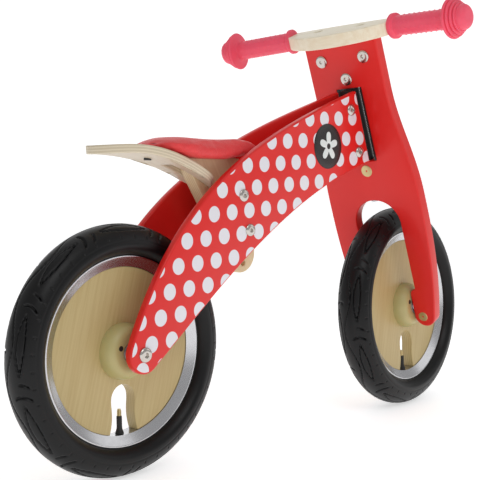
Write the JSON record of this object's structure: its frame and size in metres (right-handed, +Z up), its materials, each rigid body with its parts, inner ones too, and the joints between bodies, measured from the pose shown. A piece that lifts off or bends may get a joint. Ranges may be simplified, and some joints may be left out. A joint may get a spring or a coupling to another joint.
{
  "type": "balance bike",
  "caption": "Child's balance bike with curved plywood side panels, plywood fork and handlebar, padded seat and pneumatic tyres on plywood disc wheels.",
  "frame": {"origin": "on the ground, midway between the two axles, in the middle plane of the bike", "axes": "+X forward, +Y to the rider's left, +Z up; the fork is stored turned 7.3 degrees to the left"},
  "size_m": [0.818, 0.4013, 0.5646],
  "materials": {
    "red_paint": "red lacquer over birch plywood, satin gloss",
    "ply": "clear-lacquered birch plywood",
    "pale_ply": "clear-lacquered pale laminated wood",
    "hub_plastic": "cream moulded plastic",
    "tyre_rubber": "black rubber with a moulded tread",
    "tube_rubber": "black butyl",
    "valve_rubber": "black rubber stem with a brass top",
    "bright_rim": "polished plated steel",
    "steel": "zinc-plated steel",
    "chrome": "bright chrome",
    "brass": "plain turned brass",
    "black_plastic": "black nylon, satin",
    "black_rubber": "black rubber",
    "black_board": "black-painted plywood",
    "badge": "black disc with a plain ring",
    "coral_vinyl": "coral red vinyl with a fine grain",
    "coral_rubber": "coral pink soft rubber, satin"
  },
  "bodies": {
    "frame": {"panel_right": "red_paint", "panel_left": "red_paint", "badges": "badge", "head_block": "black_plastic", "head_bushes": "steel", "head_bolts": "chrome", "rear_axle": "chrome", "rear_axle_nut": "chrome", "rear_axle_spacers": "steel", "seat_bolts": "chrome", "seat_spacers": "ply", "seat_post": "ply", "tail_board": "pale_ply", "seat_base": "black_board", "seat_pad": "coral_vinyl", "seat_screws": "steel"},
    "fork": {"fork_board": "red_paint", "slot_liners": "black_rubber", "steering_pin": "steel", "steering_cap_nut": "chrome", "steering_cross_nut": "brass", "thrust_washers": "black_plastic", "front_axle": "chrome", "front_axle_nut": "chrome", "front_axle_spacers": "steel", "leg_nuts": "brass", "leg_screws": "steel", "handlebar": "pale_ply", "bar_bolts": "chrome", "bar_cap_nuts": "chrome", "grip_left": "coral_rubber", "grip_right": "coral_rubber"},
    "rear_wheel": {"rear_tyre": "tyre_rubber", "rear_inner_tube": "tube_rubber", "rear_valve": "valve_rubber", "rear_rim": "bright_rim", "rear_disc": "ply", "rear_hub": "hub_plastic", "rear_hub_bearings": "steel", "rear_hub_sleeve": "steel", "rear_hub_screws": "steel"},
    "front_wheel": {"front_tyre": "tyre_rubber", "front_inner_tube": "tube_rubber", "front_valve": "valve_rubber", "front_rim": "bright_rim", "front_disc": "ply", "front_hub": "hub_plastic", "front_hub_bearings": "steel", "front_hub_sleeve": "steel", "front_hub_screws": "steel"}
  },
  "joints": [
    {"name": "steering", "type": "hinge", "parent": "frame", "child": "fork", "pos_m": [0.2645, 0, 0.145], "axis": [-0.3214, 0, 0.9469], "range_deg": [-29.3, 14.7]},
    {"name": "rear_wheel_spin", "type": "hinge", "parent": "frame", "child": "rear_wheel", "pos_m": [-0.2645, 0, 0.145], "axis": [0, 1, 0], "continuous": true},
    {"name": "front_wheel_spin", "type": "hinge", "parent": "fork", "child": "front_wheel", "pos_m": [0.2645, 0, 0.145], "axis": [-0.1203, 0.9919, -0.0408], "continuous": true}
  ]
}
